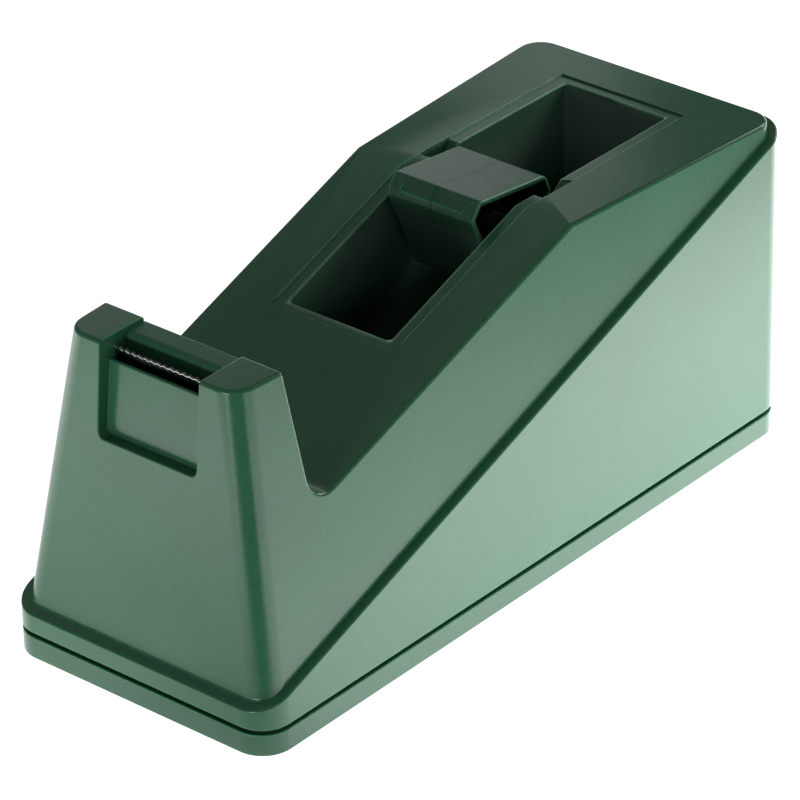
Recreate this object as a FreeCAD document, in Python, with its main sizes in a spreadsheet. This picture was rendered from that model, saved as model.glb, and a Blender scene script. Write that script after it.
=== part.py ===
import FreeCAD, Part
import os
from math import atan2, degrees

import Sketcher
from FreeCAD import Rotation, Vector

# Desk tape dispenser: a moulded housing on a base tray, a cutter between two ears at the front, and a
# triangular hub on an axle that drops into two inclined channels over the roll well.
# Millimetres. X runs across the width, Y from front to back, Z up from the desk.
# In the sheet, "back" means the distance behind the front face and "level" the height above the desk.
# Every sub-part is shifted forward by half the length at the end, so the origin is under the middle.

driving_sizes = [
    ("width", 62.7, "overall width"),
    ("length", 154.2, "overall length"),
    ("body_top", 67.6, "level of the flat top"),
    ("tower_top", 68.2, "level of the two ears"),
    ("wall", 2.0, "housing wall"),
    ("foot_proud", 0.8, "how far the feet stand out of the tray"),
    ("tray_edge", 4.45, "visible height of the base tray"),
    ("shadow_gap", 0.95, "groove between tray and housing"),
    ("plan_corner", 6.4, "corner radius of tray and plinth, seen from above"),
    ("ledge_front", 10.0, "level of the ledge at the front"),
    ("ledge_rear", 66.5, "level of the ledge at the rear"),
    ("ledge_side", 1.65, "ledge width along the sides"),
    ("front_inset", 2.3, "ledge width at the front"),
    ("rear_inset", 1.45, "ledge width at the rear"),
    ("ledge_round", 0.5, "rounding of the ledge's outer edge"),
    ("ledge_root", 3.0, "how deep the upper body reaches into the plinth"),
    ("side_draft", 9.73, "lean of the side faces, degrees"),
    ("front_draft", 5.05, "lean of the front face, degrees"),
    ("upper_corner", 5.0, "radius of the upright corners above the ledge"),
    ("top_round", 0.8, "rounding of the top edges"),
    ("tower_rear", 19.15, "back of the ears at their top"),
    ("tower_rear_draft", 4.22, "lean of the tower's rear face, degrees"),
    ("valley_level", 41.6, "level of the valley behind the tower"),
    ("valley_round", 4.0, "radius in the valley"),
    ("break_back", 94.15, "back of the line where the slope meets the flat top"),
    ("ear_gap", 23.3, "gap between the ears"),
    ("ear_wall", 1.8, "walls around the ear gap"),
    ("pocket_level", 49.5, "level of the pocket's floor in the front face"),
    ("pocket_depth", 2.4, "depth of the pocket at its floor"),
    ("pocket_draft", 7.0, "lean of the pocket's panel, degrees"),
    ("pocket_corner", 1.4, "radius of the pocket's lower corners"),
    ("panel_top", 63.5, "level of the panel's upper edge"),
    ("panel_wall", 0.8, "thickness of the panel at its upper edge"),
    ("sill_level", 64.3, "level of the tower's rear wall between the ears"),
    ("block_play", 0.12, "play around the cutter block"),
    ("pad_drop", 0.85, "how far the tape pad lies below the ears"),
    ("pad_front", 14.45, "back of the pad's front edge"),
    ("pad_rise", 0.2, "rise of the pad from its front edge to its crest"),
    ("pad_round", 1.1, "rounding of the pad's front edge"),
    ("gully_level", 62.4, "level of the gully between blade and pad"),
    ("hook_reach", 0.7, "how far the block's hooks reach under the slot walls"),
    ("hook_thick", 1.3, "thickness of the block's hooks"),
    ("hook_length", 4.0, "length of the block's hooks"),
    ("tip_back", 10.6, "back of the blade's teeth"),
    ("tip_level", 66.0, "level of the blade's teeth"),
    ("blade_lean", 18.0, "lean of the blade, degrees"),
    ("blade_depth", 8.5, "width of the steel strip"),
    ("blade_thick", 0.45, "thickness of the steel strip"),
    ("blade_play", 0.05, "play behind the blade"),
    ("tooth_pitch", 1.5, "pitch of the teeth"),
    ("tooth_depth", 0.4, "depth of the teeth"),
    ("well_width", 24.4, "width of the roll well"),
    ("well_front", 58.05, "back of the well's front wall"),
    ("well_margin", 13.9, "from the well's rear wall to the rear face"),
    ("well_wall", 1.6, "walls of the well"),
    ("rim_side", 2.5, "width of the sunk border at the sides"),
    ("rim_front", 1.9, "width of the sunk border at the front"),
    ("rim_rear", 2.1, "width of the sunk border at the rear"),
    ("rim_depth", 0.4, "depth of the sunk border"),
    ("axle_diameter", 4.2, "diameter of the axle"),
    ("axle_chamfer", 0.4, "chamfer at the axle's ends"),
    ("bore_play", 0.05, "radial play of the axle in the hub"),
    ("channel_play", 0.2, "radial play of the axle in its channels"),
    ("channel_end_play", 0.3, "gap at each end of the axle"),
    ("channel_depth", 2.6, "how far the channels reach into the well's side walls"),
    ("channel_wall", 1.6, "walls around the channels"),
    ("channel_angle", 35.0, "rise of the channels towards the rear, degrees"),
    ("hub_back", 95.35, "back of the hub's axis"),
    ("hub_level", 61.3, "level of the hub's axis"),
    ("hub_tilt", 6.3, "turn of the hub at rest, degrees"),
    ("hub_gap", 1.95, "gap between the hub and the well's side walls"),
    ("hub_flat", 8.0, "axis to each of the hub's three flats"),
    ("hub_corner", 12.4, "axis to each of the hub's cut corners"),
    ("hub_round_small", 0.8, "rounding where a flat turns into the cut corner before it"),
    ("hub_round_large", 2.2, "rounding where a cut corner turns into the flat before it"),
    ("hub_wall", 1.0, "wall of the hub"),
    ("hub_web", 1.2, "web of each half, at the seam"),
    ("hub_tube", 7.0, "diameter of the hub's centre tube"),
    ("hub_tube_inset", 3.0, "how far the centre tube stays inside the rim"),
    ("spoke_inset", 6.0, "how far the spokes stay inside the rim"),
    ("spoke_wall", 1.0, "spokes from the centre tube to the flats"),
    ("grip_height", 0.3, "height of the grip ribs on the cut corners"),
    ("grip_wall", 0.5, "width of the grip ribs"),
    ("grip_place", 0.9, "distance of the long bars from the middle of the cut corners"),
    ("grip_leg", 1.6, "length of the short legs of the grip ribs"),
    ("grip_margin", 2.6, "distance of the grip ribs from the hub's ends"),
    ("peg_diameter", 2.0, "diameter of the pegs between the halves"),
    ("peg_length", 0.8, "length of the pegs"),
    ("peg_play", 0.08, "play around the pegs"),
    ("peg_radius", 5.6, "distance of the pegs from the axis"),
    ("tray_floor", 2.0, "floor of the base tray"),
    ("lip_play", 0.2, "play between the tray's lip and the housing"),
    ("lip_wall", 1.4, "thickness of the tray's lip"),
    ("lip_level", 8.0, "level of the lip's top and of the screw bosses' joint"),
    ("screw_margin_side", 6.75, "screws from the side faces"),
    ("screw_margin_end", 16.0, "screws from the front and rear faces"),
    ("screw_shank", 2.9, "diameter of the screws' shank"),
    ("screw_head", 5.6, "diameter of the screws' head"),
    ("screw_head_height", 1.7, "height of the screws' head"),
    ("screw_length", 9.5, "length of the screws' shank"),
    ("screw_play", 0.05, "play around the shank"),
    ("pilot_extra", 1.0, "how much deeper the pilot holes are"),
    ("head_play", 0.35, "play around the head"),
    ("cross_width", 0.8, "width of the cross slot in the heads"),
    ("cross_depth", 0.9, "depth of the cross slot in the heads"),
    ("housing_boss", 7.0, "diameter of the housing's bosses"),
    ("tray_boss", 8.4, "diameter of the tray's bosses"),
    ("boss_rise", 20.0, "height of the housing's bosses"),
    ("rib_wall", 1.6, "thickness of the ribs"),
    ("foot_diameter", 11.0, "diameter of the feet"),
    ("foot_recess", 1.0, "depth of the recesses that hold the feet"),
    ("foot_play", 0.2, "play around the feet"),
    ("foot_chamfer", 0.3, "chamfer of the feet"),
    ("foot_margin_side", 11.35, "feet from the side faces"),
    ("foot_margin_end", 32.0, "feet from the front and rear faces"),
    ("ballast_height", 20.0, "height of each ballast bar"),
    ("ballast_margin", 30.0, "from each end of the bars to the nearer end face"),
    ("bay_gap", 0.8, "gap between the well and the fence around a bar"),
    ("ballast_chamfer", 0.8, "chamfer of the bars' edges"),
    ("ballast_play", 0.3, "play around the bars"),
    ("fence_wall", 1.0, "tray's fence around each bar"),
    ("fence_height", 6.0, "height of the fence"),
    ("foam_height", 2.0, "thickness of the foam strips"),
    ("foam_inset", 1.0, "how far the foam stays inside the bar's edges"),
    ("hold_front", 64.0, "back of the front hold-down ribs"),
    ("hold_margin", 38.0, "from the rear hold-down ribs to the rear face"),
]

doc = FreeCAD.newDocument("TapeDispenser")
sheet = doc.addObject("Spreadsheet::Sheet", "Sizes")
for row, (alias, number, note) in enumerate(driving_sizes, start=1):
    sheet.set(f"A{row}", note)
    sheet.set(f"B{row}", str(number))
    sheet.setAlias(f"B{row}", alias)
doc.recompute()


# ---- helpers ----


def value(formula):
    found = sheet.evalExpression(str(formula))
    return float(getattr(found, "Value", found))


def bind(target, formulas):
    for path, formula in formulas.items():
        target.setExpression(path, str(formula))


def new_body(name):
    return doc.addObject("PartDesign::Body", name)


def new_sketch(body, name, plane, offset=None):
    sketch = body.newObject("Sketcher::SketchObject", name)
    support = [feature for feature in body.Origin.OriginFeatures if feature.Role == plane]
    sketch.AttachmentSupport = [(support[0], "")]
    sketch.MapMode = "FlatFace"
    if offset is not None:
        bind(sketch, {"AttachmentOffset.Base.z": offset})
    return sketch


def fix_point(sketch, geometry, point, place):
    """Ties a point to the sketch's origin by two formulas."""
    for kind, formula in zip(("DistanceX", "DistanceY"), place):
        constraint = Sketcher.Constraint(kind, -1, 1, geometry, point, value(formula))
        number = sketch.addConstraint(constraint)
        bind(sketch, {f"Constraints[{number}]": formula})


def add_loop(sketch, corners):
    """A closed outline with straight sides."""
    first = sketch.GeometryCount
    places = [Vector(value(across), value(up), 0) for across, up in corners]
    following = places[1:] + places[:1]
    sketch.addGeometry([Part.LineSegment(a, b) for a, b in zip(places, following)], False)
    for step, corner in enumerate(corners):
        line = first + step
        last = first + (step - 1) % len(corners)
        sketch.addConstraint(Sketcher.Constraint("Coincident", last, 2, line, 1))
        fix_point(sketch, line, 1, corner)


def add_circle(sketch, across, up, radius):
    centre = Vector(value(across), value(up), 0)
    circle = sketch.addGeometry(Part.Circle(centre, Vector(0, 0, 1), value(radius)), False)
    fix_point(sketch, circle, 3, (across, up))
    number = sketch.addConstraint(Sketcher.Constraint("Radius", circle, value(radius)))
    bind(sketch, {f"Constraints[{number}]": radius})


def rectangle(left, low, right, high):
    return [(left, low), (right, low), (right, high), (left, high)]


def add_feature(body, kind, name, sketch, length, symmetric, reverse):
    feature = body.newObject(kind, name)
    feature.Profile = sketch
    feature.SideType = "Symmetric" if symmetric else "One side"
    feature.Reversed = reverse
    bind(feature, {"Length": length})
    body.Tip = feature
    return feature


def pad(body, sketch, length, symmetric=False, reverse=False):
    name = sketch.Name + "Pad"
    return add_feature(body, "PartDesign::Pad", name, sketch, length, symmetric, reverse)


def pocket(body, sketch, length, symmetric=False, reverse=False):
    name = sketch.Name + "Pocket"
    return add_feature(body, "PartDesign::Pocket", name, sketch, length, symmetric, reverse)


def edges_where(feature, wanted):
    doc.recompute()
    edges = enumerate(feature.Shape.Edges, start=1)
    return [f"Edge{number}" for number, edge in edges if wanted(edge)]


def dress_edges(body, kind, name, wanted, size):
    base = body.Tip
    names = edges_where(base, wanted)
    feature = body.newObject(kind, name)
    feature.Base = (base, names)
    bind(feature, {"Radius" if kind.endswith("Fillet") else "Size": size})
    body.Tip = feature
    return feature


def fillet(body, name, wanted, radius):
    return dress_edges(body, "PartDesign::Fillet", name, wanted, radius)


def chamfer(body, name, wanted, width):
    return dress_edges(body, "PartDesign::Chamfer", name, wanted, width)


def around_axle(body, name, feature):
    """Repeats a feature at the hub's three corners or flats."""
    pattern = body.newObject("PartDesign::PolarPattern", name)
    pattern.Originals = [feature]
    axis = [axis for axis in body.Origin.OriginFeatures if axis.Role == "X_Axis"]
    pattern.Axis = (axis[0], [""])
    pattern.Angle = 360
    pattern.Occurrences = 3
    body.Tip = pattern
    return pattern


def runs_along(edge, axis):
    """True for a straight edge whose direction lies near the axis."""
    if edge.Curve.TypeId != "Part::GeomLine":
        return False
    return abs(edge.Curve.Direction.dot(axis)) > 0.9


def runs_anywhere(edge):
    return True


def is_crosswise(edge):
    return runs_along(edge, x_axis)


def is_upright(edge):
    return runs_along(edge, z_axis)


def is_circle(edge):
    return edge.Curve.TypeId == "Part::GeomCircle"


def middle(edge):
    return edge.CenterOfMass


def near(number, formula, reach=0.05):
    return abs(number - value(formula)) < reach


def box(name, low, spans):
    """A Part box from its low corner and its three spans, all formulas."""
    block = doc.addObject("Part::Box", name)
    bind(block, dict(zip(("Placement.Base.x", "Placement.Base.y", "Placement.Base.z"), low)))
    bind(block, dict(zip(("Length", "Width", "Height"), spans)))
    return block


def upright(name, across, back, low, radius, height):
    """A standing Part cylinder."""
    post = doc.addObject("Part::Cylinder", name)
    bind(post, {"Placement.Base.x": across, "Placement.Base.y": back, "Placement.Base.z": low})
    bind(post, {"Radius": radius, "Height": height})
    return post


def fuse(name, pieces):
    joined = doc.addObject("Part::MultiFuse", name)
    joined.Shapes = pieces
    joined.Refine = True
    return joined


def common(name, pieces):
    shared = doc.addObject("Part::MultiCommon", name)
    shared.Shapes = pieces
    return shared


def cut(name, base, tool):
    left = doc.addObject("Part::Cut", name)
    left.Base = base
    left.Tool = tool
    left.Refine = False
    return left


subparts = []


def finish(piece, label, across="0", back="0", level="0"):
    """Labels a finished sub-part and shifts it so that the origin is under the middle."""
    piece.Label = label
    bind(
        piece,
        {
            "Placement.Base.x": across,
            "Placement.Base.y": f"({back}) - Sizes.length / 2",
            "Placement.Base.z": level,
        },
    )
    subparts.append(piece)
    return piece


x_axis = Vector(1, 0, 0)
y_axis = Vector(0, 1, 0)
z_axis = Vector(0, 0, 1)

# ---- formulas that several pieces share ----

half_width = "(Sizes.width / 2)"
tray_top = "(Sizes.foot_proud + Sizes.tray_edge)"
housing_foot = "(Sizes.foot_proud + Sizes.tray_edge + Sizes.shadow_gap)"
floor_top = "(Sizes.foot_proud + Sizes.tray_floor)"
ledge_slant = "((Sizes.ledge_rear - Sizes.ledge_front) / Sizes.length)"
rear_slant = "tan(Sizes.tower_rear_draft)"
valley_back = f"(Sizes.tower_rear + {rear_slant} * (Sizes.tower_top - Sizes.valley_level))"
slope_slant = f"((Sizes.body_top - Sizes.valley_level) / (Sizes.break_back - {valley_back}))"
slope_cosine = f"cos(atan({slope_slant}))"
half_ear_gap = "(Sizes.ear_gap / 2)"
half_well = "(Sizes.well_width / 2)"
well_rear = "(Sizes.length - Sizes.well_margin)"
channel_reach = f"({half_well} + Sizes.channel_depth)"
upper_rear = "(Sizes.length - Sizes.rear_inset)"
lip_outer = "(Sizes.wall + Sizes.lip_play)"
lip_inner = f"({lip_outer} + Sizes.lip_wall)"
fence_outer = "(Sizes.ballast_play + Sizes.fence_wall)"
bar_inner = f"({half_well} + Sizes.well_wall + Sizes.bay_gap + {fence_outer})"
bar_outer = f"({half_width} - {lip_inner} - {fence_outer})"
bar_top = f"({floor_top} + Sizes.ballast_height)"
foam_top = f"({bar_top} + Sizes.foam_height)"
screw_side = f"({half_width} - Sizes.screw_margin_side)"
screw_ends = {"Front": "Sizes.screw_margin_end", "Rear": "(Sizes.length - Sizes.screw_margin_end)"}
screw_places = [(side, back) for side in (f"-{screw_side}", screw_side) for back in screw_ends.values()]


def ledge_level(back):
    return f"(Sizes.ledge_front + {ledge_slant} * ({back}))"


def front_back(level, inset="0"):
    """How far back the leaning front face lies at a level, or a skin inside it."""
    lean = f"tan(Sizes.front_draft) * (({level}) - Sizes.ledge_front)"
    return f"(Sizes.front_inset + {lean} + ({inset}) / cos(Sizes.front_draft))"


def tower_rear_back(level):
    return f"(Sizes.tower_rear + {rear_slant} * (Sizes.tower_top - ({level})))"


def slope_level(back, inset="0"):
    rise = f"{slope_slant} * (({back}) - {valley_back})"
    return f"(Sizes.valley_level + {rise} - ({inset}) / {slope_cosine})"


def break_behind(inset):
    """Where the slope meets the flat top, both lowered by the inset."""
    return f"(Sizes.break_back + ({inset}) * (1 / {slope_cosine} - 1) / {slope_slant})"


# ---- housing: two outer forms, the same two forms a wall further in, then what stands inside ----


def upper_form(name, inset):
    """The leaning upper body with tower, valley, slope and flat top, an inset inside its faces."""
    body = new_body(name)

    # section across the ledge's rising line, so that both side faces are planes
    section = new_sketch(body, name + "Section", "XZ_Plane")
    section.AttachmentOffset.Rotation = Rotation(x_axis, 0)
    bind(section, {"AttachmentOffset.Base.y": "Sizes.ledge_front"})
    bind(section, {"AttachmentOffset.Rotation.Angle": f"atan({ledge_slant})"})
    ledge_half = f"({half_width} - Sizes.ledge_side - ({inset}) / cos(Sizes.side_draft))"
    lean = f"(tan(Sizes.side_draft) / cos(atan({ledge_slant})))"
    low = "(2 * Sizes.ledge_root)"
    high = "Sizes.tower_top"
    wide = f"({ledge_half} + {lean} * {low})"
    slim = f"({ledge_half} - {lean} * {high})"
    add_loop(section, [(f"-{wide}", f"-{low}"), (wide, f"-{low}"), (slim, high), (f"-{slim}", high)])
    pad(body, section, "Sizes.length * 3", symmetric=True)

    # side outline of what stays, inside a frame that takes all the rest away
    foot = "(Sizes.ledge_front - Sizes.ledge_root)"
    ear_top = f"(Sizes.tower_top - ({inset}))"
    flat_top = f"(Sizes.body_top - ({inset}))"
    rear_end = f"({upper_rear} - ({inset}))"
    skew = f"({rear_slant} / {slope_cosine} - 1 / cos(Sizes.tower_rear_draft))"
    shift = f"(({inset}) * {skew} / (1 + {slope_slant} * {rear_slant}))"
    valley = f"({valley_back} + {shift})"
    ear_rear = f"({tower_rear_back(ear_top)} - ({inset}) / cos(Sizes.tower_rear_draft))"
    outline = new_sketch(body, name + "Outline", "YZ_Plane")
    far = "2 * Sizes.length"
    add_loop(outline, rectangle(f"-{far}", f"-{far}", far, far))
    add_loop(
        outline,
        [
            (front_back(foot, inset), f"{ledge_level(front_back(foot, inset))} - Sizes.ledge_root"),
            (rear_end, f"{ledge_level(rear_end)} - Sizes.ledge_root"),
            (rear_end, flat_top),
            (break_behind(inset), flat_top),
            (valley, slope_level(valley, inset)),
            (ear_rear, ear_top),
            (front_back(ear_top, inset), ear_top),
        ],
    )
    pocket(body, outline, "Sizes.width * 3", symmetric=True)
    tower_middle = value("Sizes.tower_rear") / 2
    rear_zone = value(f"{upper_rear} - 1.5 * Sizes.wall")

    def corner(edge):
        back = middle(edge).y
        return runs_along(edge, z_axis) and (back < tower_middle or back > rear_zone)

    fillet(body, name + "Corners", corner, f"Sizes.upper_corner - ({inset})")
    return body


def plinth_form(name, inset, foot, top_drop):
    """The plinth whose top rises along the sides, an inset inside its faces."""
    body = new_body(name)
    sketch = new_sketch(body, name + "Side", "YZ_Plane")
    front = f"({inset})"
    rear = f"(Sizes.length - ({inset}))"
    add_loop(
        sketch,
        [
            (front, foot),
            (rear, foot),
            (rear, f"{ledge_level(rear)} - {top_drop}"),
            (front, f"{ledge_level(front)} - {top_drop}"),
        ],
    )
    pad(body, sketch, f"Sizes.width - 2 * ({inset})", symmetric=True)
    fillet(body, name + "Corners", is_upright, f"Sizes.plan_corner - ({inset})")
    return body


upper_outer = upper_form("UpperOuter", "0")
plinth_outer = plinth_form("PlinthOuter", "0", housing_foot, "0")


def valley_edge(edge):
    return runs_along(edge, x_axis) and near(middle(edge).z, "Sizes.valley_level", 1)


def above_ledge(point):
    return point.z - value(ledge_level(point.y))


def top_edge(edge):
    """The edges round the ears and along both sides of valley, slope and flat top."""
    place = middle(edge)
    if above_ledge(place) < 0 or place.z < value("Sizes.valley_level") - 1:
        return False
    if runs_along(edge, x_axis):
        at_rear_end = near(place.y, upper_rear) and near(place.z, "Sizes.body_top")
        return near(place.z, "Sizes.tower_top") or at_rear_end
    rear_upright = runs_along(edge, z_axis) and place.y > value("Sizes.length - Sizes.upper_corner * 2")
    return abs(place.x) > value("Sizes.ear_gap") / 2 and not rear_upright


def ledge_edge(edge):
    return abs(above_ledge(middle(edge))) < 0.2


fillet(upper_outer, "UpperValley", valley_edge, "Sizes.valley_round")
fillet(upper_outer, "UpperTop", top_edge, "Sizes.top_round")
fillet(plinth_outer, "PlinthLedge", ledge_edge, "Sizes.ledge_round")
outer = fuse("HousingOuter", [upper_outer, plinth_outer])

ceiling_drop = f"Sizes.wall / cos(atan({ledge_slant}))"
upper_inner = upper_form("UpperInner", "Sizes.wall")
plinth_inner = plinth_form("PlinthInner", "Sizes.wall", "0", ceiling_drop)
shell = cut("HousingShell", outer, fuse("HousingHollow", [upper_inner, plinth_inner]))
shell.Refine = True

# solid pieces inside the shell: ear block, well, channel blocks, hold-down ribs and screw bosses
ear_half = f"({half_ear_gap} + Sizes.ear_wall)"
ear_foot = "(Sizes.pocket_level - Sizes.ear_wall)"
ear_block = box(
    "EarBlock",
    (f"-{ear_half}", "0", ear_foot),
    (f"2 * {ear_half}", tower_rear_back(ear_foot), f"Sizes.tower_top - {ear_foot}"),
)
well_outer = f"({half_well} + Sizes.well_wall)"
well_block = box(
    "WellBlock",
    (f"-{well_outer}", "Sizes.well_front - Sizes.well_wall", housing_foot),
    (
        f"2 * {well_outer}",
        f"{well_rear} - Sizes.well_front + 2 * Sizes.well_wall",
        f"Sizes.body_top - {housing_foot}",
    ),
)


def channel(name, half_span, half_gap):
    """A bar across the well with a round lower end at the hub's axis, rising towards the rear."""
    tilt = Rotation(x_axis, value("Sizes.channel_angle"))
    bar = box(
        name + "Bar",
        (
            f"-({half_span})",
            f"Sizes.hub_back + ({half_gap}) * sin(Sizes.channel_angle)",
            f"Sizes.hub_level - ({half_gap}) * cos(Sizes.channel_angle)",
        ),
        (f"2 * ({half_span})", "Sizes.body_top / 2", f"2 * ({half_gap})"),
    )
    bar.Placement.Rotation = tilt
    bind(bar, {"Placement.Rotation.Angle": "Sizes.channel_angle"})
    end = doc.addObject("Part::Cylinder", name + "End")
    end.Placement.Rotation = Rotation(y_axis, 90)
    bind(
        end,
        {
            "Placement.Base.x": f"-({half_span})",
            "Placement.Base.y": "Sizes.hub_back",
            "Placement.Base.z": "Sizes.hub_level",
            "Radius": half_gap,
            "Height": f"2 * ({half_span})",
        },
    )
    return fuse(name, [bar, end])


channel_half = "(Sizes.axle_diameter / 2 + Sizes.channel_play)"
channel_block = channel(
    "ChannelBlock",
    f"{channel_reach} + Sizes.channel_wall",
    f"{channel_half} + Sizes.channel_wall",
)
inside = [ear_block, well_block, channel_block]
for end_name, back in (("Front", "Sizes.hold_front"), ("Rear", "(Sizes.length - Sizes.hold_margin)")):
    rib = box(
        "HoldRib" + end_name,
        (f"-{half_width}", f"{back} - Sizes.rib_wall / 2", foam_top),
        ("Sizes.width", "Sizes.rib_wall", f"Sizes.body_top - {foam_top}"),
    )
    inside.append(rib)
for number, (across, back) in enumerate(screw_places, start=1):
    post = upright(
        f"HousingBoss{number}", across, back, "Sizes.lip_level", "Sizes.housing_boss / 2", "Sizes.boss_rise"
    )
    inside.append(post)
for end_name, back in screw_ends.items():
    for side_name, left in (("Left", f"-{half_width}"), ("Right", screw_side)):
        rib = box(
            f"BossRib{end_name}{side_name}",
            (left, f"{back} - Sizes.rib_wall / 2", "Sizes.lip_level"),
            ("Sizes.screw_margin_side", "Sizes.rib_wall", "Sizes.boss_rise"),
        )
        inside.append(rib)
trimmed = common("HousingInside", [outer, fuse("InsidePieces", inside)])
filled = fuse("HousingFilled", [shell, trimmed])

# openings: the well, its sunk border, the axle channels, the ear gap with its pocket, the screw holes
well_cut = box(
    "WellCut",
    (f"-{half_well}", "Sizes.well_front", "0"),
    ("Sizes.well_width", f"{well_rear} - Sizes.well_front", "2 * Sizes.body_top"),
)

rim_body = new_body("RimCut")
rim_sketch = new_sketch(rim_body, "RimSide", "YZ_Plane")
rim_start = "(Sizes.well_front - Sizes.rim_front)"
rim_end = f"({well_rear} + Sizes.rim_rear)"
rim_floor = "(Sizes.body_top - Sizes.rim_depth)"
sky = "2 * Sizes.tower_top"
add_loop(
    rim_sketch,
    [
        (rim_start, slope_level(rim_start, "Sizes.rim_depth")),
        (break_behind("Sizes.rim_depth"), rim_floor),
        (rim_end, rim_floor),
        (rim_end, sky),
        (rim_start, sky),
    ],
)
pad(rim_body, rim_sketch, "Sizes.well_width + 2 * Sizes.rim_side", symmetric=True)


def panel_back(level):
    """The pocket's panel, which leans a little more than the front face."""
    foot = f"{front_back('Sizes.pocket_level')} + Sizes.pocket_depth"
    return f"({foot} + tan(Sizes.pocket_draft) * (({level}) - Sizes.pocket_level))"


panel_inner = f"({panel_back('Sizes.panel_top')} + Sizes.panel_wall)"
sill_front = "(Sizes.tower_rear - Sizes.ear_wall)"
gap_body = new_body("EarGapCut")
gap_sketch = new_sketch(gap_body, "EarGapSide", "YZ_Plane")
add_loop(
    gap_sketch,
    [
        ("-Sizes.wall", "Sizes.pocket_level"),
        (panel_back("Sizes.pocket_level"), "Sizes.pocket_level"),
        (panel_back("Sizes.panel_top"), "Sizes.panel_top"),
        (panel_inner, "Sizes.panel_top"),
        (panel_inner, f"{ear_foot} - Sizes.wall"),
        (sill_front, f"{ear_foot} - Sizes.wall"),
        (sill_front, "Sizes.sill_level"),
        ("Sizes.tower_rear * 1.5", "Sizes.sill_level"),
        ("Sizes.tower_rear * 1.5", sky),
        ("-Sizes.wall", sky),
    ],
)
pad(gap_body, gap_sketch, "Sizes.ear_gap", symmetric=True)


def pocket_edge(edge):
    return runs_along(edge, y_axis) and near(middle(edge).z, "Sizes.pocket_level")


fillet(gap_body, "PocketCorners", pocket_edge, "Sizes.pocket_corner")

pilot_holes = [
    upright(
        f"PilotHole{number}",
        across,
        back,
        "0",
        "Sizes.screw_shank / 2 + Sizes.screw_play",
        f"{floor_top} + Sizes.screw_length + Sizes.pilot_extra",
    )
    for number, (across, back) in enumerate(screw_places, start=1)
]
channel_cut = channel("ChannelCut", channel_reach, channel_half)
openings = fuse("HousingOpenings", [well_cut, rim_body, gap_body, channel_cut] + pilot_holes)
housing = finish(cut("Housing", filled, openings), "housing")

# ---- cutter: the block whose top is the tape pad, and the toothed strip that leans against it ----

lean_sine = "sin(Sizes.blade_lean)"
lean_cosine = "cos(Sizes.blade_lean)"
lean_tangent = "tan(Sizes.blade_lean)"
seat_gap = "(Sizes.blade_thick + Sizes.blade_play)"
seat_depth = "(Sizes.blade_depth + Sizes.blade_play)"
seat_foot_back = f"(Sizes.tip_back + {seat_gap} * {lean_cosine} + {seat_depth} * {lean_sine})"
seat_foot_level = f"(Sizes.tip_level + {seat_gap} * {lean_sine} - {seat_depth} * {lean_cosine})"
seat_top_drop = f"{lean_tangent} * (Sizes.tip_level - Sizes.gully_level)"
seat_top_back = f"(Sizes.tip_back + {seat_gap} / {lean_cosine} + {seat_top_drop})"
block_front = f"({panel_inner} + Sizes.block_play)"
block_rear = f"({sill_front} - Sizes.block_play)"
block_half = f"({half_ear_gap} - Sizes.block_play)"
ledge_drop = f"{lean_tangent} * ({seat_foot_back} - {block_front})"
crest = "(Sizes.tower_top - Sizes.pad_drop)"
lip_foot = "(Sizes.sill_level + Sizes.block_play)"

block_body = new_body("CutterBlock")
block_sketch = new_sketch(block_body, "BlockSide", "YZ_Plane")
add_loop(
    block_sketch,
    [
        (block_front, "Sizes.pocket_level"),
        (block_rear, "Sizes.pocket_level"),
        (block_rear, lip_foot),
        (tower_rear_back(lip_foot), lip_foot),
        (tower_rear_back(crest), crest),
        ("Sizes.pad_front", f"{crest} - Sizes.pad_rise"),
        ("Sizes.pad_front - Sizes.pad_round / 2", "Sizes.gully_level"),
        (seat_top_back, "Sizes.gully_level"),
        (seat_foot_back, seat_foot_level),
        (block_front, f"{seat_foot_level} - {ledge_drop}"),
    ],
)
pad(block_body, block_sketch, f"2 * {block_half}", symmetric=True)


def pad_edge(edge):
    above_gully = middle(edge).z > value("Sizes.gully_level") + 1
    return runs_along(edge, x_axis) and near(middle(edge).y, "Sizes.pad_front") and above_gully


fillet(block_body, "PadFront", pad_edge, "Sizes.pad_round")

# two hooks that catch under the walls of the ear gap
hook_root = f"({block_half} - Sizes.hook_thick)"
hook_tip = f"({block_half} + Sizes.hook_reach)"
hook_top = f"({ear_foot} - Sizes.block_play)"
hook_foot = f"({hook_top} - Sizes.hook_thick)"
for side_name, sign in (("Left", "-"), ("Right", "")):
    hook_sketch = new_sketch(
        block_body, "Hook" + side_name, "XZ_Plane", f"-({block_front} + {block_rear}) / 2"
    )
    add_loop(
        hook_sketch,
        [
            (f"{sign}{hook_root}", f"{hook_foot} - Sizes.hook_reach"),
            (f"{sign}{block_half}", f"{hook_foot} - Sizes.hook_reach"),
            (f"{sign}{hook_tip}", hook_foot),
            (f"{sign}{hook_tip}", hook_top),
            (f"{sign}{block_half}", hook_top),
            (f"{sign}{block_half}", "Sizes.pocket_level + Sizes.wall"),
            (f"{sign}{hook_root}", "Sizes.pocket_level + Sizes.wall"),
        ],
    )
    pad(block_body, hook_sketch, "Sizes.hook_length", symmetric=True)
cutter_block = finish(block_body, "cutter_block")

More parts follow.
